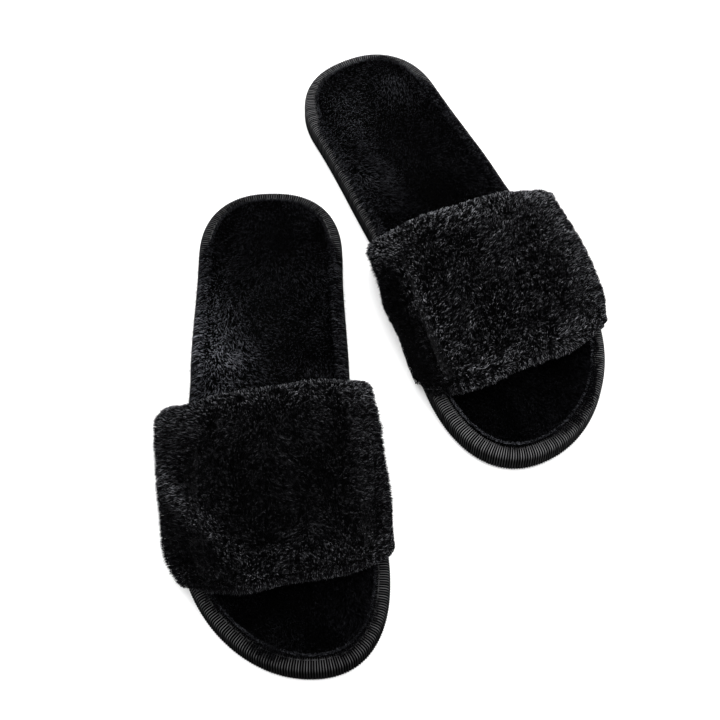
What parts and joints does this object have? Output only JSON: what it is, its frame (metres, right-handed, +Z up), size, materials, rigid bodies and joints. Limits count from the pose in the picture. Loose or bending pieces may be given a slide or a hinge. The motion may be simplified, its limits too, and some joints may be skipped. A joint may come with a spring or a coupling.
{
  "type": "fluffy house slipper",
  "caption": "Open-toe plush house slipper as a right and left pair: a soft tape-bound footbed on a thin anti-slip sole, with a wide fluffy strap over the forefoot.",
  "frame": {"origin": "centre of the pair's bounding box, on the floor under the outsoles", "axes": "+Z up from the floor; toes point to -Y and heels to +Y; +X towards the left slipper, which lies turned toe-out beside and behind the right one"},
  "size_m": [0.2164, 0.3478, 0.0494],
  "materials": {
    "outsole_rubber": "matte",
    "sole_foam": "matte closed-cell foam",
    "insole_plush": "short brushed pile",
    "binding_tape": "ribbed grosgrain weave",
    "strap_plush": "long fluffy pile",
    "strap_lining": "matte knit",
    "sewing_thread": "twisted thread"
  },
  "bodies": {
    "right_slipper": {"right_outsole": "outsole_rubber", "right_bottom_filler": "sole_foam", "right_midsole_foam": "sole_foam", "right_insole_cover": "insole_plush", "right_edge_binding": "binding_tape", "right_binding_stitch": "sewing_thread", "right_strap_lining": "strap_lining", "right_strap_foam": "sole_foam", "right_strap_shell": "strap_plush", "right_strap_rear_stitch": "sewing_thread", "right_strap_front_stitch": "sewing_thread"},
    "left_slipper": {"left_outsole": "outsole_rubber", "left_bottom_filler": "sole_foam", "left_midsole_foam": "sole_foam", "left_insole_cover": "insole_plush", "left_edge_binding": "binding_tape", "left_binding_stitch": "sewing_thread", "left_strap_lining": "strap_lining", "left_strap_foam": "sole_foam", "left_strap_shell": "strap_plush", "left_strap_rear_stitch": "sewing_thread", "left_strap_front_stitch": "sewing_thread"}
  },
  "joints": [
    {"name": "left_slipper_lift", "type": "slide", "parent": "right_slipper", "child": "left_slipper", "axis": [0, 0, 1], "range_m": [0, 0.15]}
  ]
}
